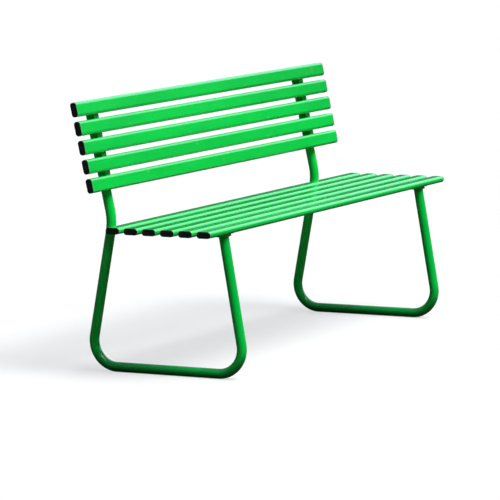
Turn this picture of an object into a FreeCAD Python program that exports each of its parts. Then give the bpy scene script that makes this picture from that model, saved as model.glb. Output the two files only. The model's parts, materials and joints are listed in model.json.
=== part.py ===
import FreeCAD, Part
import os
import Sketcher
from FreeCAD import Placement, Rotation, Vector
from math import cos, pi, radians, sin, tan

# Welded steel slat bench with a backrest. Millimetres and degrees, +X along the slats, +Y to the
# rear, +Z up, origin on the ground under the middle of the bench's outline.

SEAT_SLATS = 6
BACK_SLATS = 5
SIDES = {"left": -1, "right": 1}

# Driving dimensions: alias, value, meaning.
DIMENSIONS = (
    ("slat_span", 1500.0, "length of a slat over its two end caps"),
    ("slat_width", 40.0, "long side of the slat section"),
    ("slat_depth", 18.0, "short side of the slat section"),
    ("slat_corner", 8.0, "outer corner radius of the slat section"),
    ("slat_wall", 1.5, "slat wall"),
    ("seat_center", -46.7, "Y of the middle of the seat"),
    ("seat_height", 412.2, "height of the seat surface"),
    ("seat_pitch", 55.2, "seat slat spacing"),
    ("back_setback", 227.0, "middle of the backrest behind the middle of the seat"),
    ("back_height", 623.1, "height of the middle of the backrest"),
    ("back_pitch", 52.1, "back slat spacing"),
    ("back_lean", 12.0, "lean of backrest and posts from the vertical"),
    ("cap_head", 3.0, "thickness of an end cap's head"),
    ("cap_stem", 14.0, "length of an end cap's stem"),
    ("cap_play", 0.1, "clearance round an end cap's stem"),
    ("stem_wall", 1.5, "wall of the hollow stems of caps and plugs"),
    ("cap_round", 1.2, "rounding of an end cap's outer edge"),
    ("tube_size", 27.0, "outer diameter of the frame tube"),
    ("tube_wall", 2.0, "frame tube wall"),
    ("frame_offset", 622.0, "side frame from the middle of the bench"),
    ("ground_bend", 70.0, "axis radius of the two bends at the ground"),
    ("seat_bend", 150.0, "axis radius of the bend at seat level"),
    ("front_corner", 194.5, "front leg's axis meets the rail's axis this far ahead of the seat's middle"),
    ("rail_length", 481.0, "ground rail from corner to corner of the tube's axis"),
    ("front_lean", 9.5, "front leg's lean from the vertical"),
    ("rear_lean", 11.0, "rear leg's lean from the vertical"),
    ("post_height", 727.0, "height of the post's open end on its axis"),
    ("trim_over", 20.0, "front leg's length above its trimmed top"),
    ("bearer_width", 50.0, "seat bearer's width"),
    ("bearer_depth", 8.0, "seat bearer's thickness"),
    ("bearer_front", 145.0, "bearer's front end ahead of the seat's middle"),
    ("bearer_corner", 8.0, "rounding of the bearer's front corners"),
    ("notch_play", 1.2, "gap between the bearer's notch and the post"),
    ("strip_width", 25.0, "back strip's width"),
    ("strip_depth", 3.0, "back strip's thickness"),
    ("strip_margin", 6.0, "back strip's ends inside the outer slats' edges"),
    ("plug_head", 3.0, "thickness of a post plug's head"),
    ("plug_stem", 15.0, "length of a post plug's stem"),
    ("plug_round", 1.5, "rounding of a post plug's head"),
    ("weld_length", 24.0, "length of a bead along a slat's flat side"),
    ("seat_weld", 3.0, "leg of the beads between seat slats and bearer"),
    ("back_weld", 2.8, "leg of the beads between back slats and strip"),
    ("ring_weld", 5.0, "leg of the beads round a leg or a post under the bearer"),
    ("stitch_near", 3.5, "inner edge of the beads between strip and post from their middle"),
    ("stitch_far", 9.0, "outer edge of the beads between strip and post from their middle"),
    ("stitch_length", 30.0, "length of a bead between strip and post"),
)

# Places that several pieces share: name, expression.
PLACES = (
    ("rail_height", "Dims.tube_size / 2"),
    ("front_corner_y", "Dims.seat_center - Dims.front_corner"),
    ("rear_corner_y", "front_corner_y + Dims.rail_length"),
    ("underside", "Dims.seat_height - Dims.slat_depth"),
    ("bearer_bottom", "underside - Dims.bearer_depth"),
    ("leg_top_y", "front_corner_y + (bearer_bottom - rail_height) * tan(Dims.front_lean)"),
    ("notch_y", "rear_corner_y - (bearer_bottom + Dims.bearer_depth / 2 - rail_height) * tan(Dims.rear_lean)"),
    ("bearer_front_y", "Dims.seat_center - Dims.bearer_front"),
    ("back_y", "Dims.seat_center + Dims.back_setback"),
    ("strip_offset", "(Dims.slat_depth + Dims.strip_depth) / 2"),
    ("post_offset", "Dims.slat_depth / 2 + Dims.strip_depth + Dims.tube_size / 2"),
    ("post_top_y", "back_y + post_offset / cos(Dims.back_lean)"
                   " + (Dims.post_height - Dims.back_height) * tan(Dims.back_lean)"),
)

doc = FreeCAD.newDocument("slat_bench")
sheet = doc.addObject("Spreadsheet::Sheet", "Dims")
for row, (alias, number, meaning) in enumerate(DIMENSIONS, start=1):
    sheet.set(f"A{row}", meaning)
    sheet.set(f"B{row}", str(number))
    sheet.setAlias(f"B{row}", alias)
doc.recompute()

places = doc.addObject("App::FeaturePython", "Places")
for name, expression in PLACES:
    places.addProperty("App::PropertyFloat", name)
    places.setExpression(name, expression)
doc.recompute()


def dim(alias):
    """A driving dimension as a number."""
    return float(sheet.get(alias))


def bind(thing, expressions):
    """Binds properties of an object, given as path: expression."""
    for path, expression in expressions.items():
        thing.setExpression(path, expression)


def new_body(label, expressions):
    """A body whose placement follows the expressions, any turn being about the X axis."""
    body = doc.addObject("PartDesign::Body", label)
    body.Label = label
    body.Placement.Rotation = Rotation(Vector(1, 0, 0), dim("back_lean"))
    body.setExpression("Placement.Rotation.Angle", "0 deg")
    bind(body, expressions)
    return body


def new_sketch(body, name, role, offset="0"):
    """A sketch on an origin plane of the body, moved along the plane's normal by the offset."""
    sketch = body.newObject("Sketcher::SketchObject", name)
    plane = next(item for item in body.Origin.OriginFeatures if item.Role == role)
    sketch.AttachmentSupport = (plane, [""])
    sketch.MapMode = "FlatFace"
    sketch.setExpression("AttachmentOffset.Base.z", offset)
    return sketch


def measure(sketch, name, kind, *geometry, seed, expression):
    """Adds a named constraint whose value follows the expression."""
    index = sketch.addConstraint(Sketcher.Constraint(kind, *geometry, seed))
    sketch.renameConstraint(index, name)
    sketch.setExpression(f"Constraints.{name}", expression)


def place_point(sketch, name, geometry, position, seed, along, up):
    """Holds a point of the sketch at the place given by two expressions."""
    measure(sketch, f"{name}_along", "DistanceX", -1, 1, geometry, position, seed=seed.x, expression=along)
    measure(sketch, f"{name}_up", "DistanceY", -1, 1, geometry, position, seed=seed.y, expression=up)


def add_circle(sketch, name, radius, up="0"):
    """A circle on the sketch's vertical axis, with its radius and height as expressions."""
    seed = dim("tube_size") / 2
    circle = sketch.addGeometry(Part.Circle(Vector(0, seed, 0), Vector(0, 0, 1), seed))
    measure(sketch, f"{name}_radius", "Radius", circle, seed=seed, expression=radius)
    place_point(sketch, name, circle, 3, Vector(0, seed, 0), "0", up)


def add_rectangle(sketch, name, low, high):
    """A rectangle between two corners, each a pair of expressions."""
    size = dim("slat_width")
    corners = [Vector(0, 0, 0), Vector(size, 0, 0), Vector(size, size, 0), Vector(0, size, 0)]
    first = sketch.GeometryCount
    for start, end in zip(corners, corners[1:] + corners[:1]):
        sketch.addGeometry(Part.LineSegment(start, end))
    for side in range(4):
        sketch.addConstraint(Sketcher.Constraint("Coincident", first + side, 2, first + (side + 1) % 4, 1))
        sketch.addConstraint(Sketcher.Constraint("Vertical" if side % 2 else "Horizontal", first + side))
    place_point(sketch, f"{name}_low", first, 1, corners[0], *low)
    place_point(sketch, f"{name}_high", first + 2, 1, corners[2], *high)


def add_rounded_rectangle(sketch, name, width, depth, corner):
    """A centred rectangle with round corners, its sizes as expressions."""
    half_width = dim("slat_width") / 2
    half_depth = dim("slat_depth") / 2
    radius = dim("slat_corner")
    inner = Vector(half_width - radius, half_depth - radius, 0)
    first = sketch.GeometryCount
    for quarter, (sign_x, sign_y) in enumerate(((1, 1), (-1, 1), (-1, -1), (1, -1))):
        center = Vector(sign_x * inner.x, sign_y * inner.y, 0)
        circle = Part.Circle(center, Vector(0, 0, 1), radius)
        sketch.addGeometry(Part.ArcOfCircle(circle, quarter * pi / 2, (quarter + 1) * pi / 2))
    sketch.addGeometry(Part.LineSegment(Vector(inner.x, half_depth, 0), Vector(-inner.x, half_depth, 0)))
    sketch.addGeometry(Part.LineSegment(Vector(-half_width, inner.y, 0), Vector(-half_width, -inner.y, 0)))
    sketch.addGeometry(Part.LineSegment(Vector(-inner.x, -half_depth, 0), Vector(inner.x, -half_depth, 0)))
    sketch.addGeometry(Part.LineSegment(Vector(half_width, -inner.y, 0), Vector(half_width, inner.y, 0)))
    for side in range(4):
        arc = first + side
        line = first + 4 + side
        next_arc = first + (side + 1) % 4
        sketch.addConstraint(Sketcher.Constraint("Tangent", arc, 2, line, 1))
        sketch.addConstraint(Sketcher.Constraint("Tangent", line, 2, next_arc, 1))
        sketch.addConstraint(Sketcher.Constraint("Vertical" if side % 2 else "Horizontal", line))
    for arc in range(first + 1, first + 4):
        sketch.addConstraint(Sketcher.Constraint("Equal", first, arc))
    sketch.addConstraint(Sketcher.Constraint("Symmetric", first, 3, first + 2, 3, -1, 1))
    measure(sketch, f"{name}_corner", "Radius", first, seed=radius, expression=corner)
    measure(sketch, f"{name}_width", "DistanceX", first + 2, 1, first, 1,
            seed=2 * half_width, expression=width)
    measure(sketch, f"{name}_depth", "DistanceY", first + 3, 1, first + 1, 1,
            seed=2 * half_depth, expression=depth)


def add_pad(body, name, sketch, length, side_type="One side", reverse=False):
    """Pads a sketch by a length given as an expression."""
    pad = body.newObject("PartDesign::Pad", name)
    pad.Profile = sketch
    pad.SideType = side_type
    pad.Reversed = reverse
    pad.setExpression("Length", length)
    doc.recompute()
    return pad


def add_pocket(body, name, sketch, side_type="Symmetric"):
    """Cuts a sketch right through the body and checks that it took material away."""
    before = body.Shape.Volume
    pocket = body.newObject("PartDesign::Pocket", name)
    pocket.Profile = sketch
    pocket.SideType = side_type
    pocket.Type = "ThroughAll"
    body.Tip = pocket
    doc.recompute()
    if body.Shape.Volume >= before:
        raise RuntimeError(f"{body.Label}: {name} cuts nothing")
    return pocket


def add_fillet(body, name, base, picks, radius):
    """Rounds edges or whole faces of a feature by a radius given as an expression."""
    fillet = body.newObject("PartDesign::Fillet", name)
    fillet.Base = (base, picks)
    fillet.setExpression("Radius", radius)
    body.Tip = fillet
    doc.recompute()


def faces_at(feature, axis, level):
    """Names of the feature's faces whose middle lies at a level along an axis."""
    tolerance = 0.01
    return [f"Face{index}" for index, face in enumerate(feature.Shape.Faces, start=1)
            if abs(getattr(face.CenterOfMass, axis) - level) < tolerance]


def path_arc(center_y, center_z, radius, start, end):
    """An arc of a tube's path, counterclockwise between two angles in degrees."""
    circle = Part.Circle(Vector(center_y, center_z, 0), Vector(0, 0, 1), radius)
    return Part.ArcOfCircle(circle, radians(start), radians(end))


def start_path(sketch, corner_y, corner_name):
    """The rail of a tube path and the corner point where the axes of rail and leg meet."""
    rail_start = Vector(dim("seat_center"), places.rail_height, 0)
    corner = Vector(corner_y, places.rail_height, 0)
    rail = sketch.addGeometry(Part.LineSegment(rail_start, (rail_start + corner) / 2))
    point = sketch.addGeometry(Part.Point(corner), True)
    sketch.addConstraint(Sketcher.Constraint("Horizontal", rail))
    place_point(sketch, "rail", rail, 1, rail_start, "Dims.seat_center", "Places.rail_height")
    place_point(sketch, "corner", point, 1, corner, f"Places.{corner_name}", "Places.rail_height")
    return rail, point


def front_path(body):
    """Axis of the tube from the rail's middle up the front leg."""
    sketch = new_sketch(body, "FrontPath", "YZ_Plane")
    rail, corner = start_path(sketch, places.front_corner_y, "front_corner_y")
    lean = dim("front_lean")
    radius = dim("ground_bend")
    middle_y = places.front_corner_y + radius / tan(radians(90 - lean) / 2)
    middle_z = places.rail_height + radius
    top = places.bearer_bottom + dim("trim_over")
    arc = sketch.addGeometry(path_arc(middle_y, middle_z, radius, 180 - lean, 270))
    leg_start = Vector(middle_y - radius * cos(radians(lean)), middle_z + radius * sin(radians(lean)), 0)
    leg_end = Vector(leg_start.x + (top - leg_start.y) * tan(radians(lean)), top, 0)
    leg = sketch.addGeometry(Part.LineSegment(leg_start, leg_end))
    sketch.addConstraint(Sketcher.Constraint("Tangent", rail, 2, arc, 2))
    sketch.addConstraint(Sketcher.Constraint("Tangent", arc, 1, leg, 1))
    sketch.addConstraint(Sketcher.Constraint("PointOnObject", corner, 1, leg))
    measure(sketch, "bend", "Radius", arc, seed=radius, expression="Dims.ground_bend")
    measure(sketch, "lean", "Angle", leg, seed=radians(90 - lean), expression="(90 - Dims.front_lean) * 1 deg")
    measure(sketch, "top", "DistanceY", -1, 1, leg, 2, seed=top,
            expression="Places.bearer_bottom + Dims.trim_over")
    return sketch


def rear_path(body):
    """Axis of the tube from the rail's middle up the rear leg and the post."""
    sketch = new_sketch(body, "RearPath", "YZ_Plane")
    rail, corner = start_path(sketch, places.rear_corner_y, "rear_corner_y")
    lean = dim("rear_lean")
    back_lean = dim("back_lean")
    radius = dim("ground_bend")
    seat_radius = dim("seat_bend")
    middle_y = places.rear_corner_y - radius / tan(radians(90 - lean) / 2)
    middle_z = places.rail_height + radius
    arc = sketch.addGeometry(path_arc(middle_y, middle_z, radius, 270, 360 + lean))
    leg_start = Vector(middle_y + radius * cos(radians(lean)), middle_z + radius * sin(radians(lean)), 0)
    leg_end = Vector(leg_start.x - (places.underside - leg_start.y) * tan(radians(lean)), places.underside, 0)
    leg = sketch.addGeometry(Part.LineSegment(leg_start, leg_end))
    bend_y = leg_end.x + seat_radius * cos(radians(lean))
    bend_z = leg_end.y + seat_radius * sin(radians(lean))
    bend = sketch.addGeometry(path_arc(bend_y, bend_z, seat_radius, 180 - back_lean, 180 + lean))
    post_start = Vector(bend_y - seat_radius * cos(radians(back_lean)),
                        bend_z + seat_radius * sin(radians(back_lean)), 0)
    post_end = Vector(places.post_top_y, dim("post_height"), 0)
    post = sketch.addGeometry(Part.LineSegment(post_start, post_end))
    sketch.addConstraint(Sketcher.Constraint("Tangent", rail, 2, arc, 1))
    sketch.addConstraint(Sketcher.Constraint("Tangent", arc, 2, leg, 1))
    sketch.addConstraint(Sketcher.Constraint("Tangent", leg, 2, bend, 2))
    sketch.addConstraint(Sketcher.Constraint("Tangent", bend, 1, post, 1))
    sketch.addConstraint(Sketcher.Constraint("PointOnObject", corner, 1, leg))
    measure(sketch, "bend", "Radius", arc, seed=radius, expression="Dims.ground_bend")
    measure(sketch, "seat_bend", "Radius", bend, seed=seat_radius, expression="Dims.seat_bend")
    measure(sketch, "lean", "Angle", leg, seed=radians(90 + lean), expression="(90 + Dims.rear_lean) * 1 deg")
    measure(sketch, "back_lean", "Angle", post, seed=radians(90 - back_lean),
            expression="(90 - Dims.back_lean) * 1 deg")
    place_point(sketch, "post_end", post, 2, post_end, "Places.post_top_y", "Dims.post_height")
    return sketch


def add_pipe(body, name, profile, path):
    """Sweeps the profile along every edge of the path."""
    doc.recompute()
    pipe = body.newObject("PartDesign::AdditivePipe", name)
    pipe.Profile = profile
    pipe.Spine = (path, [f"Edge{index + 1}" for index in range(len(path.Shape.Edges))])
    body.Tip = pipe
    doc.recompute()


def side_frame(label, side):
    """One bent tube: front leg, ground rail, rear leg and back post."""
    body = new_body(label, {"Placement.Base.x": f"{side} * Dims.frame_offset"})
    profile = new_sketch(body, "Tube", "XZ_Plane", "-Dims.seat_center")
    add_circle(profile, "outer", "Dims.tube_size / 2", "Places.rail_height")
    add_circle(profile, "inner", "Dims.tube_size / 2 - Dims.tube_wall", "Places.rail_height")
    add_pipe(body, "FrontPipe", profile, front_path(body))
    add_pipe(body, "RearPipe", profile, rear_path(body))
    trim = new_sketch(body, "LegTop", "YZ_Plane")
    add_rectangle(trim, "trim",
                  ("Places.leg_top_y - Dims.tube_size", "Places.bearer_bottom"),
                  ("Places.leg_top_y + Dims.tube_size", "Places.bearer_bottom + 2 * Dims.trim_over"))
    add_pocket(body, "Trim", trim)
    return body


def slat(label, placement):
    """A hollow slat between its two end caps."""
    body = new_body(label, placement)
    section = new_sketch(body, "Section", "YZ_Plane")
    add_rounded_rectangle(section, "outer", "Dims.slat_width", "Dims.slat_depth", "Dims.slat_corner")
    add_rounded_rectangle(section, "inner", "Dims.slat_width - 2 * Dims.slat_wall",
                          "Dims.slat_depth - 2 * Dims.slat_wall", "Dims.slat_corner - Dims.slat_wall")
    add_pad(body, "Length", section, "Dims.slat_span - 2 * Dims.cap_head", "Symmetric")
    return body


def end_cap(label, side, placement):
    """A plastic cap: a head over the slat's end and a hollow stem inside it."""
    end = {"Placement.Base.x": f"{side} * (Dims.slat_span / 2 - Dims.cap_head)"}
    body = new_body(label, placement | end)
    outline = new_sketch(body, "Outline", "YZ_Plane")
    add_rounded_rectangle(outline, "head", "Dims.slat_width", "Dims.slat_depth", "Dims.slat_corner")
    head = add_pad(body, "Head", outline, "Dims.cap_head", reverse=side < 0)
    plug = new_sketch(body, "Inside", "YZ_Plane")
    outside = "(Dims.slat_wall + Dims.cap_play)"
    inside = "(Dims.slat_wall + Dims.cap_play + Dims.stem_wall)"
    for name, inset in (("stem", outside), ("hollow", inside)):
        add_rounded_rectangle(plug, name, f"Dims.slat_width - 2 * {inset}", f"Dims.slat_depth - 2 * {inset}",
                              f"Dims.slat_corner - {inset}")
    stem = add_pad(body, "Stem", plug, "Dims.cap_stem", reverse=side > 0)
    outer_face = faces_at(stem, "x", side * dim("cap_head"))
    add_fillet(body, "Rounding", stem, outer_face, "Dims.cap_round")
    return body


def seat_row(index):
    """Placement expressions of a seat slat, counted from the front."""
    return {
        "Placement.Base.y": f"Dims.seat_center + {index - (SEAT_SLATS - 1) / 2} * Dims.seat_pitch",
        "Placement.Base.z": "Dims.seat_height - Dims.slat_depth / 2",
    }


def back_row(index):
    """Placement expressions of a back slat, counted from the top."""
    along = f"{(BACK_SLATS - 1) / 2 - index} * Dims.back_pitch"
    return {
        "Placement.Base.y": f"Places.back_y + {along} * sin(Dims.back_lean)",
        "Placement.Base.z": f"Dims.back_height + {along} * cos(Dims.back_lean)",
        "Placement.Rotation.Angle": "(90 - Dims.back_lean) * 1 deg",
    }


def seat_bearer(label, side):
    """The flat bar under the seat slats, with round front corners and a notch for the post."""
    body = new_body(label, {"Placement.Base.x": f"{side} * Dims.frame_offset",
                            "Placement.Base.z": "Places.bearer_bottom"})
    outline = new_sketch(body, "Outline", "XY_Plane")
    add_rectangle(outline, "bar", ("-Dims.bearer_width / 2", "Places.bearer_front_y"),
                  ("Dims.bearer_width / 2", "Places.notch_y"))
    bar = add_pad(body, "Bar", outline, "Dims.bearer_depth")
    tolerance = 0.01
    corners = [f"Edge{index}" for index, edge in enumerate(bar.Shape.Edges, start=1)
               if edge.BoundBox.ZLength > tolerance
               and abs(edge.CenterOfMass.y - places.bearer_front_y) < tolerance]
    add_fillet(body, "Corners", bar, corners, "Dims.bearer_corner")
    round_end = new_sketch(body, "Notch", "XY_Plane")
    add_circle(round_end, "notch", "Dims.tube_size / 2 + Dims.notch_play", "Places.notch_y")
    add_pocket(body, "NotchCut", round_end)
    return body


def back_strip(label, side):
    """The thin bar between the post and the back slats."""
    strip = doc.addObject("Part::Box", label)
    strip.Label = label
    strip.Placement.Rotation = Rotation(Vector(1, 0, 0), dim("back_lean"))
    length = f"({BACK_SLATS - 1} * Dims.back_pitch + Dims.slat_width - 2 * Dims.strip_margin)"
    bind(strip, {
        "Length": "Dims.strip_width",
        "Width": "Dims.strip_depth",
        "Height": length,
        "Placement.Base.x": f"{side} * Dims.frame_offset - Dims.strip_width / 2",
        "Placement.Base.y": "Places.back_y + Dims.slat_depth / 2 * cos(Dims.back_lean)"
                            f" - {length} / 2 * sin(Dims.back_lean)",
        "Placement.Base.z": "Dims.back_height - Dims.slat_depth / 2 * sin(Dims.back_lean)"
                            f" - {length} / 2 * cos(Dims.back_lean)",
        "Placement.Rotation.Angle": "-Dims.back_lean * 1 deg",
    })
    return strip


def post_plug(label, side):
    """The plug in the post's open top, with a hollow stem."""
    body = new_body(label, {"Placement.Base.x": f"{side} * Dims.frame_offset",
                            "Placement.Base.y": "Places.post_top_y",
                            "Placement.Base.z": "Dims.post_height",
                            "Placement.Rotation.Angle": "-Dims.back_lean * 1 deg"})
    outline = new_sketch(body, "Outline", "XY_Plane")
    add_circle(outline, "head", "Dims.tube_size / 2")
    add_pad(body, "Head", outline, "Dims.plug_head")
    inside = new_sketch(body, "Inside", "XY_Plane")
    add_circle(inside, "stem", "Dims.tube_size / 2 - Dims.tube_wall - Dims.cap_play")
    add_circle(inside, "hollow", "Dims.tube_size / 2 - Dims.tube_wall - Dims.cap_play - Dims.stem_wall")
    stem = add_pad(body, "Stem", inside, "Dims.plug_stem", reverse=True)
    add_fillet(body, "Rounding", stem, faces_at(stem, "z", dim("plug_head")), "Dims.plug_round")
    return body


def group(label, solids, placement):
    """Separate solids under one label, with a placement that follows the expressions."""
    item = doc.addObject("Part::Feature", label)
    item.Label = label
    item.Shape = Part.makeCompound(solids)
    item.Placement.Rotation = Rotation(Vector(1, 0, 0), dim("back_lean"))
    item.setExpression("Placement.Rotation.Angle", "0 deg")
    bind(item, placement)
    return item


def corner_bead(leg, side, edge_x, middle_y):
    """A triangular bead in the corner between a bar's side face and the flat above it."""
    corner = Vector(edge_x, middle_y - dim("weld_length") / 2, 0)
    outer = corner + Vector(side * leg, 0, 0)
    lower = corner + Vector(0, 0, -leg)
    face = Part.Face(Part.makePolygon([corner, outer, lower, corner]))
    return face.extrude(Vector(0, dim("weld_length"), 0))


def seat_welds(label, side):
    """Beads along both edges of a bearer, under every seat slat."""
    beads = []
    for index in range(SEAT_SLATS):
        along = (index - (SEAT_SLATS - 1) / 2) * dim("seat_pitch")
        for edge in SIDES.values():
            beads.append(corner_bead(dim("seat_weld"), edge, edge * dim("bearer_width") / 2, along))
    return group(label, beads, {"Placement.Base.x": f"{side} * Dims.frame_offset",
                                "Placement.Base.y": "Dims.seat_center",
                                "Placement.Base.z": "Places.underside"})


def back_welds(label, side):
    """Beads along both edges of a back strip, behind every back slat."""
    beads = []
    for index in range(BACK_SLATS):
        along = (index - (BACK_SLATS - 1) / 2) * dim("back_pitch")
        for edge in SIDES.values():
            beads.append(corner_bead(dim("back_weld"), edge, edge * dim("strip_width") / 2, along))
    return group(label, beads, {
        "Placement.Base.x": f"{side} * Dims.frame_offset",
        "Placement.Base.y": "Places.back_y + Dims.slat_depth / 2 * cos(Dims.back_lean)",
        "Placement.Base.z": "Dims.back_height - Dims.slat_depth / 2 * sin(Dims.back_lean)",
        "Placement.Rotation.Angle": "(90 - Dims.back_lean) * 1 deg",
    })


def ring_bead(lean, middle_y):
    """A bead round a leaning tube, under the bearer and inside its outline."""
    leg = dim("ring_weld")
    radius = dim("tube_size") / 2
    axis = Vector(0, sin(radians(lean)), cos(radians(lean)))
    middle = Vector(0, middle_y, 0)
    cone = Part.makeCone(radius, radius + 2 * leg, 2 * leg, middle - axis * leg, axis)
    tube = Part.makeCylinder(radius, 4 * leg, middle - axis * 2 * leg, axis)
    front = places.bearer_front_y
    under = Part.makeBox(dim("bearer_width"), places.notch_y - front, 2 * leg,
                         Vector(-dim("bearer_width") / 2, front, -2 * leg))
    return cone.cut(tube).common(under).Solids[0]


def stitch_beads():
    """Beads between the strip's rear face and the post, in the post's own frame."""
    radius = dim("tube_size") / 2
    width = dim("stitch_far") - dim("stitch_near")
    length = dim("stitch_length")
    post = Part.makeCylinder(radius, 2 * dim("slat_span"), Vector(0, radius, -dim("slat_span")))
    beads = []
    for level in (-dim("back_pitch") * 3 / 2, 0, dim("back_pitch") * 3 / 2):
        for side in SIDES.values():
            near = dim("stitch_near") if side > 0 else -dim("stitch_far")
            block = Part.makeBox(width, radius / 2, length, Vector(near, 0, level - length / 2))
            beads.append(block.cut(post).Solids[0])
    return beads


def frame_welds(label, side):
    """Beads round the front leg's top and the post's notch, and between the strip and the post."""
    rear_y = places.rear_corner_y - (places.bearer_bottom - places.rail_height) * tan(radians(dim("rear_lean")))
    rings = [ring_bead(dim("front_lean"), places.leg_top_y), ring_bead(-dim("rear_lean"), rear_y)]
    lean = radians(dim("back_lean"))
    offset = dim("slat_depth") / 2 + dim("strip_depth")
    strip_back = Placement(
        Vector(0, places.back_y + offset * cos(lean),
               dim("back_height") - offset * sin(lean) - places.bearer_bottom),
        Rotation(Vector(1, 0, 0), -dim("back_lean")))
    beads = rings + [bead.transformGeometry(strip_back.toMatrix()) for bead in stitch_beads()]
    return group(label, beads, {"Placement.Base.x": f"{side} * Dims.frame_offset",
                                "Placement.Base.z": "Places.bearer_bottom"})


def build():
    """Every piece of the bench."""
    pieces = []
    for word, side in SIDES.items():
        pieces.append(side_frame(f"{word}_side_frame", side))
        pieces.append(seat_bearer(f"{word}_seat_bearer", side))
        pieces.append(back_strip(f"{word}_back_strip", side))
        pieces.append(post_plug(f"{word}_post_plug", side))
        pieces.append(seat_welds(f"{word}_seat_welds", side))
        pieces.append(back_welds(f"{word}_back_welds", side))
        pieces.append(frame_welds(f"{word}_frame_welds", side))
    for kind, count, row in (("seat", SEAT_SLATS, seat_row), ("back", BACK_SLATS, back_row)):
        for index in range(count):
            pieces.append(slat(f"{kind}_slat_{index + 1}", row(index)))
            for word, side in SIDES.items():
                pieces.append(end_cap(f"{kind}_cap_{word}_{index + 1}", side, row(index)))
    return pieces


def check_and_export(pieces):
    """Stops at any broken object, and writes every piece to a STEP file of its own."""
    doc.recompute()
    for item in doc.Objects:
        if "Invalid" in item.State or "Error" in item.State:
            raise RuntimeError(f"{item.Label} is in state {item.State}")
    os.makedirs("parts", exist_ok=True)
    for piece in pieces:
        if piece.Shape.isNull() or not piece.Shape.isValid() or not piece.Shape.Solids:
            raise RuntimeError(f"{piece.Label} has no valid solid")
        piece.Shape.exportStep(f"parts/{piece.Label}.step")


check_and_export(build())
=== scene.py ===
import json
from math import cos, pi, radians, sin, tan
from random import Random

import bmesh
import bpy
from mathutils import Matrix, Vector


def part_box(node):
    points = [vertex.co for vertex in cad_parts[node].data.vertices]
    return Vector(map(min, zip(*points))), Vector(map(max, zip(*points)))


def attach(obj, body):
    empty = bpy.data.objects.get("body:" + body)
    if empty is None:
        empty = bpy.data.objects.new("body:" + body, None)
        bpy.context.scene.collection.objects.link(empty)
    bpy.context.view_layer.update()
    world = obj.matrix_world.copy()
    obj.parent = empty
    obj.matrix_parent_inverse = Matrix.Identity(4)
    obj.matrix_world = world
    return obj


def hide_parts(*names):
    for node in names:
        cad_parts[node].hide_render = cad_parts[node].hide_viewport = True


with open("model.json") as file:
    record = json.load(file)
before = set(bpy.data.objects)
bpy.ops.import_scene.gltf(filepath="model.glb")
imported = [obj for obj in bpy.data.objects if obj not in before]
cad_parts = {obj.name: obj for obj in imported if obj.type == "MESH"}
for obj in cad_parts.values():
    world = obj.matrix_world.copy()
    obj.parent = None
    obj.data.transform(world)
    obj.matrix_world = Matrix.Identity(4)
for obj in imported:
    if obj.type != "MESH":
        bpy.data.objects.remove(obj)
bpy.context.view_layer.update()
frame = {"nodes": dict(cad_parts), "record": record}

# Green slat bench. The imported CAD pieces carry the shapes; this script gives them paint and plastic,
# and adds weld beads, a floor, the light and the camera. Metres, in the CAD's own frame.

NODES = frame["nodes"]
SIDES = {"left": -1, "right": 1}
SEAT_SLATS = 6
BACK_SLATS = 5
MM = 0.001
UP = Vector((0, 0, 1))

# How far the legs lean from the vertical.
FRONT_LEAN = radians(9.5)
REAR_LEAN = radians(11.0)

# Weld beads: how they curve and ripple, how far each may differ from the next, and the beads of the
# frame, whose angles count from the front of the tube and whose levels count in back slat spacings.
BEAD_STEPS = 6
BEAD_SWELL = 0.22
BEAD_STATION = 0.6 * MM
BEAD_TIP = 0.2
RIPPLE_PITCH = 2.4 * MM
RIPPLE_DEPTH = 0.16
BEAD_VARIATION = 0.08
RING_WELD = 3.2 * MM
RING_START = radians(38)
NOTCH_HALF = radians(82)
STITCH_WELD = 5.5 * MM
STITCH_START = 4.0 * MM
STITCH_LENGTH = 30.0 * MM
STITCH_SLOPE = radians(33.0)
STITCH_LEVELS = (-1.5, 0.0, 1.5)

# Camera: the point it aims at, and where it stands round that point.
AIM = Vector((-0.0568, 0.0353, 0.2734))
CAMERA_AZIMUTH = radians(-62.63)
CAMERA_ELEVATION = radians(7.14)
CAMERA_ROLL = radians(-0.81)
CAMERA_DISTANCE = 10.402
CAMERA_LENS = 263.9
SENSOR = 36.0

# Light: the way to the lamp from the bench, the lamp's strength and width, and the surroundings.
TO_LAMP = Vector((-0.08, -0.56, 1.0))
LAMP_STRENGTH = 3.45
LAMP_ANGLE = radians(28.0)
DIM_ROOM = 0.02
SKY = (0.72, 0.88, 1.15, 1.0)
OVERHEAD = 0.25
OVERHEAD_EDGE = 0.1
BRIGHT_WALL = Vector((0.93, -0.15, 0.36))
WALL_STRENGTH = 1.3
WALL_EDGE = 0.75
WALL_MIDDLE = 0.95
WALL_FOOT = 0.11
WALL_FULL = 0.27
FLOOR_GLOW = 0.60
BACKDROP_GLOW = 0.93
BACKDROP_FACETS = 48
STAGE_REACH = 60.0
GROUND_DEPTH = 0.5 * MM

# Colours.
BRIGHT_GREEN = (0.0, 0.80, 0.085, 1.0)
DEEP_GREEN = (0.0, 0.70, 0.072, 1.0)
PALE_GREEN = (0.12, 0.72, 0.22, 1.0)
# Painted shade: the darker green put on the undersides and low down near the ground.
SHADE_GREEN = (0.0, 0.38, 0.055, 1.0)
GRIME = (0.03, 0.05, 0.012, 1.0)
STAIN = (0.20, 0.52, 0.01, 1.0)
BLACK = (0.009, 0.008, 0.010, 1.0)
SCUFFED_BLACK = (0.035, 0.035, 0.037, 1.0)
WHITE = (1.0, 1.0, 1.0, 1.0)
FLOOR_TONE = (0.36, 0.35, 0.34, 1.0)
GROUND_TONE = (0.04, 0.085, 0.04, 1.0)

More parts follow.
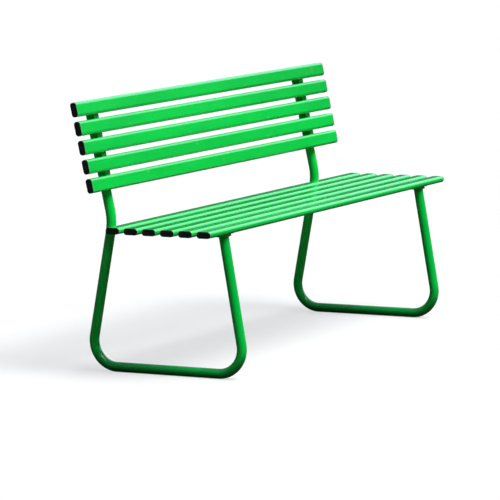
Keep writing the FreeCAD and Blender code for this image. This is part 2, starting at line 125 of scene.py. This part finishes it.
# Paint: how strongly each mark shows, from 0 to 1, and where it lies.
DUST = 0.12
CHIPS = 0.55
SCUFFS = 0.3
# Painted shade: how far surfaces that face downwards are darkened.
UNDERSIDE_SHADE = 0.7
# Painted shade: how far the paint is darkened low down, between FOOT_LOW and FOOT_HIGH above the ground, with
# a ragged edge.
FOOT_SHADE = 0.85
FOOT_LOW = 20 * MM
FOOT_HIGH = 75 * MM
FOOT_RAGGED = 12 * MM
GRIMY_FOOT = 0.8
GRIME_HEIGHT = 12 * MM
STAINED = 0.6
STAIN_PLACE = (0.67, 0.192, 0.727)
STAIN_REACH = 12 * MM
# Painted highlight: a pale band at each slat end beside the caps, its width and its strength.
END_HIGHLIGHT_WIDTH = 4.5 * MM
END_HIGHLIGHT = 0.75


# ---------------------------------------------------------------- materials
# Noise stays mostly between 0.2 and 0.8, so the ranges it is remapped from say how much a mark covers.

class Recipe:
    """A new material's node tree, with short calls to add and join nodes."""

    def __init__(self, name):
        self.material = bpy.data.materials.new(name)
        self.material.use_nodes = True
        self.tree = self.material.node_tree
        self.shader = self.tree.nodes["Principled BSDF"]

    def feed(self, socket, value):
        """Sets a socket to a number or colour, or joins it to another node's output."""
        if isinstance(value, bpy.types.NodeSocket):
            self.tree.links.new(value, socket)
        else:
            socket.default_value = value

    def add(self, kind, settings=None, **inputs):
        """A node of a kind, its inputs given by socket name with underscores for spaces."""
        node = self.tree.nodes.new(kind)
        for key, setting in (settings or {}).items():
            setattr(node, key, setting)
        for key, value in inputs.items():
            self.feed(node.inputs[key.replace("_", " ")], value)
        return node

    def place(self, stretch=(1.0, 1.0, 1.0)):
        """The frame's own coordinates, scaled along each axis."""
        coordinates = self.add("ShaderNodeTexCoord").outputs["Object"]
        return self.add("ShaderNodeMapping", Vector=coordinates, Scale=stretch).outputs["Vector"]

    def noise(self, scale, stretch=(1.0, 1.0, 1.0), detail=3.0):
        """Noise from about 0 to 1, in cells of one metre over the scale."""
        noise = self.add("ShaderNodeTexNoise", Vector=self.place(stretch), Scale=scale, Detail=detail)
        return noise.outputs[0]

    def remap(self, value, low, high, to_low=0.0, to_high=1.0):
        """A value moved smoothly from one range to another, and kept inside it."""
        smooth = {"interpolation_type": "SMOOTHSTEP"}
        ranges = {"From_Min": low, "From_Max": high, "To_Min": to_low, "To_Max": to_high}
        return self.add("ShaderNodeMapRange", smooth, Value=value, **ranges).outputs["Result"]

    def math(self, operation, first, second):
        """Two values joined by an operation, such as ADD."""
        node = self.add("ShaderNodeMath", {"operation": operation})
        self.feed(node.inputs[0], first)
        self.feed(node.inputs[1], second)
        return node.outputs["Value"]

    def blend(self, factor, first, second):
        """A colour part of the way from the first colour to the second."""
        node = self.add("ShaderNodeMix", {"data_type": "RGBA"}, Factor=factor)
        colours = [socket for socket in node.inputs if socket.type == "RGBA"]
        self.feed(colours[0], first)
        self.feed(colours[1], second)
        return next(socket for socket in node.outputs if socket.type == "RGBA")

    def split(self, vector):
        """The three parts of a vector."""
        return self.add("ShaderNodeSeparateXYZ", Vector=vector).outputs

    def bump(self, height, strength, distance, under=None):
        """A bumped normal, over another one if given."""
        node = self.add("ShaderNodeBump", Height=height, Strength=strength, Distance=distance)
        if under is not None:
            self.feed(node.inputs["Normal"], under)
        return node.outputs["Normal"]


def near(recipe, point, reach):
    """1 at a point of the frame, falling to 0 at the reach, with a ragged edge."""
    node = recipe.add("ShaderNodeVectorMath", {"operation": "DISTANCE"})
    recipe.feed(node.inputs[0], recipe.place())
    recipe.feed(node.inputs[1], point)
    ragged = recipe.math("MULTIPLY", recipe.noise(140.0), reach)
    return recipe.remap(recipe.math("ADD", node.outputs["Value"], ragged), 0.5 * reach, 1.6 * reach, 1.0, 0.0)


def slat_ends(recipe):
    """1 at the rims of the slats, where the caps begin, falling to 0 further in, with a ragged edge: where
    the painted highlight at the slat ends lies.
    """
    outward = recipe.math("ABSOLUTE", recipe.split(recipe.place())["X"], 0.0)
    raggedness = recipe.remap(recipe.noise(160.0, detail=4.0), 0.2, 0.8, -END_HIGHLIGHT_WIDTH, END_HIGHLIGHT_WIDTH)
    ragged = recipe.math("ADD", outward, raggedness)
    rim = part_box("seat_slat_1")[1][0]
    return recipe.remap(ragged, rim - END_HIGHLIGHT_WIDTH, rim, 0.0, 1.0)


def tinted(recipe, colour, amount, strength, tint):
    """A colour tinted where an amount from 0 to 1 says so, at most by a strength: used for dust, grime and
    stains, and for painted shade and a painted highlight.
    """
    return recipe.blend(recipe.math("MULTIPLY", amount, strength), colour, tint)


def green_paint():
    """Glossy enamel on steel, with runs, dust, chips, scuffs and grime by the ground, painted shade on the
    undersides and low down near the ground, and a painted highlight at the slat ends.
    """
    recipe = Recipe("green_enamel")
    runs = recipe.noise(9.0, stretch=(0.25, 1.0, 1.0))
    colour = recipe.blend(recipe.remap(runs, 0.35, 0.65), BRIGHT_GREEN, DEEP_GREEN)
    upward = recipe.split(recipe.add("ShaderNodeNewGeometry").outputs["Normal"])["Z"]
    settled = recipe.remap(recipe.noise(24.0), 0.3, 0.8)
    dusty = recipe.math("MULTIPLY", recipe.remap(upward, 0.55, 1.0), settled)
    colour = tinted(recipe, colour, dusty, DUST, PALE_GREEN)
    chips = recipe.remap(recipe.noise(75.0, stretch=(0.6, 1.0, 1.0), detail=5.0), 0.68, 0.74)
    scuffs = recipe.remap(recipe.noise(210.0, stretch=(0.10, 1.0, 1.0), detail=4.0), 0.62, 0.74)
    chipped = recipe.math("MULTIPLY", chips, CHIPS)
    scuffed = recipe.math("MULTIPLY", scuffs, SCUFFS)
    colour = recipe.blend(recipe.math("MAXIMUM", chipped, scuffed), colour, PALE_GREEN)
    # Painted shade: surfaces that face downwards are darkened towards the shade green.
    colour = tinted(recipe, colour, recipe.remap(upward, -0.45, -0.05, 1.0, 0.0), UNDERSIDE_SHADE, SHADE_GREEN)
    height = recipe.split(recipe.place())["Z"]
    # Painted shade: darker low down near the ground, fully below FOOT_LOW and fading out by FOOT_HIGH.
    raggedness = recipe.remap(recipe.noise(30.0, detail=4.0), 0.2, 0.8, -FOOT_RAGGED, FOOT_RAGGED)
    foot = recipe.remap(recipe.math("ADD", height, raggedness), FOOT_LOW, FOOT_HIGH, 1.0, 0.0)
    colour = tinted(recipe, colour, foot, FOOT_SHADE, SHADE_GREEN)
    patches = recipe.remap(recipe.noise(38.0, detail=6.0), 0.25, 0.75, 0.35, 1.0)
    grimy = recipe.math("MULTIPLY", recipe.remap(height, 0.0, GRIME_HEIGHT, 1.0, 0.0), patches)
    colour = tinted(recipe, colour, grimy, GRIMY_FOOT, GRIME)
    colour = tinted(recipe, colour, near(recipe, STAIN_PLACE, STAIN_REACH), STAINED, STAIN)
    # Painted highlight: a pale band along the slat ends, beside the caps.
    colour = tinted(recipe, colour, slat_ends(recipe), END_HIGHLIGHT, PALE_GREEN)
    recipe.feed(recipe.shader.inputs["Base Color"], colour)
    paint_surface(recipe, dusty, grimy)
    return recipe.material


def paint_surface(recipe, dusty, grimy):
    """Gloss under a clear coat, rougher where dusty or grimy, with slight waves and orange peel."""
    rough = recipe.remap(recipe.noise(30.0), 0.3, 0.7, 0.18, 0.26)
    rough = recipe.math("ADD", rough, recipe.math("MULTIPLY", dusty, 0.06))
    rough = recipe.math("ADD", rough, recipe.math("MULTIPLY", grimy, 0.35))
    recipe.feed(recipe.shader.inputs["Roughness"], rough)
    waves = recipe.bump(recipe.noise(40.0, detail=1.0), 0.04, 0.6 * MM)
    peel = recipe.bump(recipe.noise(420.0, detail=2.0), 0.012, 0.3 * MM, under=waves)
    recipe.feed(recipe.shader.inputs["Normal"], peel)
    recipe.shader.inputs["Specular IOR Level"].default_value = 0.2
    recipe.shader.inputs["Coat Weight"].default_value = 1.0
    recipe.shader.inputs["Coat Roughness"].default_value = 0.15


def black_plastic():
    """Moulded plastic: a fine grain, slightly scuffed grey where it is rubbed."""
    recipe = Recipe("moulded_plastic")
    scuffs = recipe.remap(recipe.noise(110.0, detail=6.0), 0.52, 0.72)
    recipe.feed(recipe.shader.inputs["Base Color"], recipe.blend(scuffs, BLACK, SCUFFED_BLACK))
    recipe.feed(recipe.shader.inputs["Roughness"], recipe.remap(recipe.noise(60.0), 0.3, 0.7, 0.42, 0.60))
    recipe.feed(recipe.shader.inputs["Normal"], recipe.bump(recipe.noise(1400.0, detail=2.0), 0.2, 0.2 * MM))
    return recipe.material


def pale_surface(name, tone, glow):
    """Plain pale matt paint that also glows a little, so that shadows on it stay light."""
    recipe = Recipe(name)
    recipe.shader.inputs["Base Color"].default_value = tone
    recipe.shader.inputs["Roughness"].default_value = 0.9
    recipe.shader.inputs["Specular IOR Level"].default_value = 0.0
    recipe.shader.inputs["Emission Color"].default_value = WHITE
    recipe.shader.inputs["Emission Strength"].default_value = glow
    return recipe.material


def paint_nodes(materials):
    """Gives every CAD node the material of its slot in the record."""
    for entry in frame["record"]["subparts"]:
        piece = NODES[entry["node"]]
        for index in range(len(piece.data.materials)):
            piece.data.materials[index] = materials[entry["material_slot"]]


# ---------------------------------------------------------------- weld beads

def middle_of(node):
    """The middle of a node's box."""
    low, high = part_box(node)
    return (Vector(low) + Vector(high)) / 2


def size_of(node):
    """The three sides of a node's box."""
    low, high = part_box(node)
    return Vector(high) - Vector(low)


class Beads:
    """Weld beads gathered into one piece. Each bead fills a corner between two surfaces."""

    def __init__(self, seed):
        self.shell = bmesh.new()
        self.random = Random(seed)

    def varied(self, value):
        """A value made a little smaller, differently each time."""
        return value * (1 + BEAD_VARIATION * (self.random.random() - 1))

    def sweep(self, stations):
        """A bead through stations: a corner point, the two ways away from it, and a size."""
        rings = []
        for corner, along, across, size in stations:
            ring = [self.shell.verts.new(corner)]
            for step in range(BEAD_STEPS + 1):
                turn = step / BEAD_STEPS
                reach = size * (1 + 4 * BEAD_SWELL * turn * (1 - turn))
                ring.append(self.shell.verts.new(corner + reach * ((1 - turn) * along + turn * across)))
            rings.append(ring)
        for first, second in zip(rings, rings[1:]):
            for index in range(len(first)):
                after = (index + 1) % len(first)
                self.shell.faces.new((first[index], first[after], second[after], second[index]))
        self.shell.faces.new(rings[0])
        self.shell.faces.new(rings[-1])

    def rippled(self, size, place, length):
        """A bead's size at a place along it: ripples, and rounded ends."""
        from_end = max(0.0, min(place, length - place, size)) / size
        rounded = max(BEAD_TIP, sin(pi / 2 * from_end))
        return size * rounded * (1 - RIPPLE_DEPTH * (0.5 + 0.5 * cos(2 * pi * place / RIPPLE_PITCH)))

    def straight(self, middle, run, along, across, size, length):
        """A bead along a straight corner."""
        size = self.varied(size)
        length = self.varied(length)
        count = round(length / BEAD_STATION)
        places = [length * index / count for index in range(count + 1)]
        self.sweep([(middle + run * (place - length / 2), along, across, self.rippled(size, place, length))
                    for place in places])

    def ring(self, middle, radius, lean, up, start, end, size):
        """A bead round a leaning tube where it meets a level bar, between two angles from the front."""
        length = radius * (end - start)
        count = round(length / BEAD_STATION)
        away = up * Vector((0, sin(lean), cos(lean)))
        stations = []
        for index in range(count + 1):
            angle = start + (end - start) * index / count
            outward = Vector((sin(angle), -cos(angle), 0))
            corner = middle + Vector((radius * outward.x, radius * outward.y / cos(lean), 0))
            stations.append((corner, outward, away, self.rippled(size, length * index / count, length)))
        self.sweep(stations)

    def finish(self, name, node, paint):
        """Makes the piece, which stands for a CAD node of plain beads."""
        bmesh.ops.recalc_face_normals(self.shell, faces=self.shell.faces)
        mesh = bpy.data.meshes.new(name)
        self.shell.to_mesh(mesh)
        self.shell.free()
        mesh.polygons.foreach_set("use_smooth", [True] * len(mesh.polygons))
        mesh.materials.append(paint)
        piece = bpy.data.objects.new(name, mesh)
        bpy.context.scene.collection.objects.link(piece)
        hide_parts(node)
        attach(piece, "root")


def flat_length(word):
    """The length of a bead along a slat's flat side, from the box round a row of them."""
    row = middle_of(f"seat_slat_{SEAT_SLATS}").y - middle_of("seat_slat_1").y
    return size_of(f"{word}_seat_welds").y - row


def seat_beads(word, paint):
    """Beads along both edges of a bearer, under every seat slat."""
    bearer = f"{word}_seat_bearer"
    welds = f"{word}_seat_welds"
    slats = [middle_of(f"seat_slat_{index + 1}") for index in range(SEAT_SLATS)]
    middle = middle_of(bearer)
    half_width = size_of(bearer).x / 2
    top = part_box(bearer)[1][2]
    leg = (size_of(welds).x - size_of(bearer).x) / 2
    length = flat_length(word)
    beads = Beads(f"{word} seat")
    for slat in slats:
        for edge in SIDES.values():
            corner = Vector((middle.x + edge * half_width, slat.y, top))
            beads.straight(corner, Vector((0, 1, 0)), Vector((edge, 0, 0)), -UP, leg, length)
    beads.finish(f"{word}_seat_beads", welds, paint)


def back_frame():
    """The middle of the backrest, the way up it, the way out behind it, and the slat spacing."""
    top = middle_of("back_slat_1")
    bottom = middle_of(f"back_slat_{BACK_SLATS}")
    up = (top - bottom).normalized()
    behind = Vector((1, 0, 0)).cross(up) * -1
    return (top + bottom) / 2, up, behind, (top - bottom).length / (BACK_SLATS - 1)


def back_beads(word, paint):
    """Beads along both edges of a back strip, behind every back slat."""
    strip = f"{word}_back_strip"
    welds = f"{word}_back_welds"
    middle, up, behind, pitch = back_frame()
    leg = (size_of(welds).x - size_of(strip).x) / 2
    half_depth = size_of("seat_slat_1").z / 2
    length = flat_length(word)
    beads = Beads(f"{word} back")
    for index in range(BACK_SLATS):
        slat = middle + up * pitch * (index - (BACK_SLATS - 1) / 2) + behind * half_depth
        for edge in SIDES.values():
            corner = slat + Vector((middle_of(strip).x + edge * size_of(strip).x / 2, 0, 0))
            beads.straight(corner, up, Vector((edge, 0, 0)), behind, leg, length)
    beads.finish(f"{word}_back_beads", welds, paint)


def strip_depth(word, up):
    """The back strip's thickness, from the box that it fills while it leans along a direction."""
    size = size_of(f"{word}_back_strip")
    return (size.y * up.z - size.z * up.y) / (up.z ** 2 - up.y ** 2)


def frame_beads(word, paint):
    """Beads round the front leg's top and the post's notch, and between back strip and post."""
    frame_node = f"{word}_side_frame"
    bearer_low, bearer_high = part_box(f"{word}_seat_bearer")
    x = middle_of(frame_node).x
    radius = size_of(frame_node).x / 2
    top = [vertex.co.y for vertex in NODES[frame_node].data.vertices
           if vertex.co.y < 0 and abs(vertex.co.z - bearer_low[2]) < MM]
    beads = Beads(f"{word} frame")
    leg_top = Vector((x, (min(top) + max(top)) / 2, bearer_low[2]))
    beads.ring(leg_top, radius, FRONT_LEAN, -1, RING_START, 2 * pi - RING_START, RING_WELD)
    half_depth = (bearer_high[2] - bearer_low[2]) / 2
    for way in (-1, 1):
        level = (bearer_high[2] + bearer_low[2]) / 2 + way * half_depth
        notch = Vector((x, bearer_high[1] - way * half_depth * tan(REAR_LEAN), level))
        beads.ring(notch, radius, -REAR_LEAN, way, -NOTCH_HALF, NOTCH_HALF, RING_WELD)
    middle, up, behind, pitch = back_frame()
    strip_back = size_of("seat_slat_1").z / 2 + strip_depth(word, up)
    for level in STITCH_LEVELS:
        post = middle + Vector((x, 0, 0)) + up * level * pitch + behind * strip_back
        for edge in SIDES.values():
            sideways = Vector((edge, 0, 0))
            corner = post + sideways * STITCH_START
            slope = sideways * cos(STITCH_SLOPE) + behind * sin(STITCH_SLOPE)
            beads.straight(corner, up, sideways, slope, STITCH_WELD, STITCH_LENGTH)
    beads.finish(f"{word}_frame_beads", f"{word}_frame_welds", paint)


def make_welds(paint):
    """Every weld bead on both sides."""
    for word in SIDES:
        seat_beads(word, paint)
        back_beads(word, paint)
        frame_beads(word, paint)


# ---------------------------------------------------------------- stage

def stage_piece(name, mesh, material, seen):
    """A plain surface round the bench, either seen by the camera or felt by the light, but not both."""
    mesh.materials.append(material)
    piece = bpy.data.objects.new(name, mesh)
    bpy.context.scene.collection.objects.link(piece)
    piece.visible_camera = seen
    piece.visible_diffuse = not seen
    piece.visible_glossy = not seen
    piece.visible_shadow = not seen


def level_square(name, height):
    """A wide level square mesh."""
    mesh = bpy.data.meshes.new(name)
    ways = ((-1, -1), (1, -1), (1, 1), (-1, 1))
    corners = [(STAGE_REACH * x, STAGE_REACH * y, height) for x, y in ways]
    mesh.from_pydata(corners, [], [(0, 1, 2, 3)])
    return mesh


def make_floor():
    """The pale floor that is seen, and the darker ground that throws light back on the bench."""
    pale = pale_surface("pale_floor", FLOOR_TONE, FLOOR_GLOW)
    stage_piece("floor", level_square("floor", 0.0), pale, seen=True)
    dull = pale_surface("dull_ground", GROUND_TONE, 0.0)
    stage_piece("ground", level_square("ground", -GROUND_DEPTH), dull, seen=False)


def make_backdrop():
    """A plain round wall far behind the bench on every side."""
    shell = bmesh.new()
    bmesh.ops.create_uvsphere(shell, u_segments=BACKDROP_FACETS, v_segments=BACKDROP_FACETS // 2,
                              radius=STAGE_REACH)
    mesh = bpy.data.meshes.new("backdrop")
    shell.to_mesh(mesh)
    shell.free()
    stage_piece("backdrop", mesh, pale_surface("pale_backdrop", BLACK, BACKDROP_GLOW), seen=True)


def make_room():
    """Surroundings: dim at the sides, lighter overhead, and one bright wall to the right of the bench."""
    world = bpy.data.worlds.new("room")
    world.use_nodes = True
    tree = world.node_tree
    direction = tree.nodes.new("ShaderNodeTexCoord").outputs["Generated"]

    def glow(towards, low, high, strength):
        """Light from round one direction, by the cosine of the angle to it."""
        along = tree.nodes.new("ShaderNodeVectorMath")
        along.operation = "DOT_PRODUCT"
        tree.links.new(direction, along.inputs[0])
        along.inputs[1].default_value = towards.normalized()
        patch = tree.nodes.new("ShaderNodeMapRange")
        patch.interpolation_type = "SMOOTHSTEP"
        for name, value in (("From Min", low), ("From Max", high), ("To Min", 0.0), ("To Max", strength)):
            patch.inputs[name].default_value = value
        tree.links.new(along.outputs["Value"], patch.inputs["Value"])
        return patch.outputs["Result"]

    def join(operation, first, second):
        """Two strengths, each a number or a socket, added or multiplied."""
        total = tree.nodes.new("ShaderNodeMath")
        total.operation = operation
        for socket, value in zip(total.inputs, (first, second)):
            if isinstance(value, bpy.types.NodeSocket):
                tree.links.new(value, socket)
            else:
                socket.default_value = value
        return total.outputs["Value"]

    overhead = glow(UP, OVERHEAD_EDGE, 1.0, OVERHEAD)
    above_ground = glow(UP, WALL_FOOT, WALL_FULL, 1.0)
    wall = join("MULTIPLY", glow(BRIGHT_WALL, WALL_EDGE, WALL_MIDDLE, WALL_STRENGTH), above_ground)
    background = tree.nodes["Background"]
    background.inputs["Color"].default_value = SKY
    tree.links.new(join("ADD", join("ADD", overhead, wall), DIM_ROOM), background.inputs["Strength"])
    bpy.context.scene.world = world


def make_lamp():
    """One wide soft lamp, high in front of the bench."""
    lamp = bpy.data.objects.new("lamp", bpy.data.lights.new("lamp", "SUN"))
    lamp.data.energy = LAMP_STRENGTH
    lamp.data.angle = LAMP_ANGLE
    lamp.rotation_mode = "QUATERNION"
    lamp.rotation_quaternion = TO_LAMP.to_track_quat("Z", "Y")
    bpy.context.scene.collection.objects.link(lamp)


def make_camera():
    """The camera, at the photograph's angle."""
    back = Vector((sin(CAMERA_AZIMUTH) * cos(CAMERA_ELEVATION), -cos(CAMERA_AZIMUTH) * cos(CAMERA_ELEVATION),
                   sin(CAMERA_ELEVATION)))
    camera = bpy.data.objects.new("camera", bpy.data.cameras.new("camera"))
    camera.data.lens = CAMERA_LENS
    camera.data.sensor_width = SENSOR
    camera.data.clip_end = 3 * STAGE_REACH
    turn = back.to_track_quat("Z", "Y").to_matrix().to_4x4() @ Matrix.Rotation(CAMERA_ROLL, 4, "Z")
    camera.matrix_world = Matrix.Translation(AIM + back * CAMERA_DISTANCE) @ turn
    bpy.context.scene.collection.objects.link(camera)
    bpy.context.scene.camera = camera


materials = {"green_paint": green_paint(), "black_plastic": black_plastic()}
paint_nodes(materials)
make_welds(materials["green_paint"])
make_floor()
make_backdrop()
make_room()
make_lamp()
make_camera()
bpy.context.scene.view_settings.view_transform = "Standard"
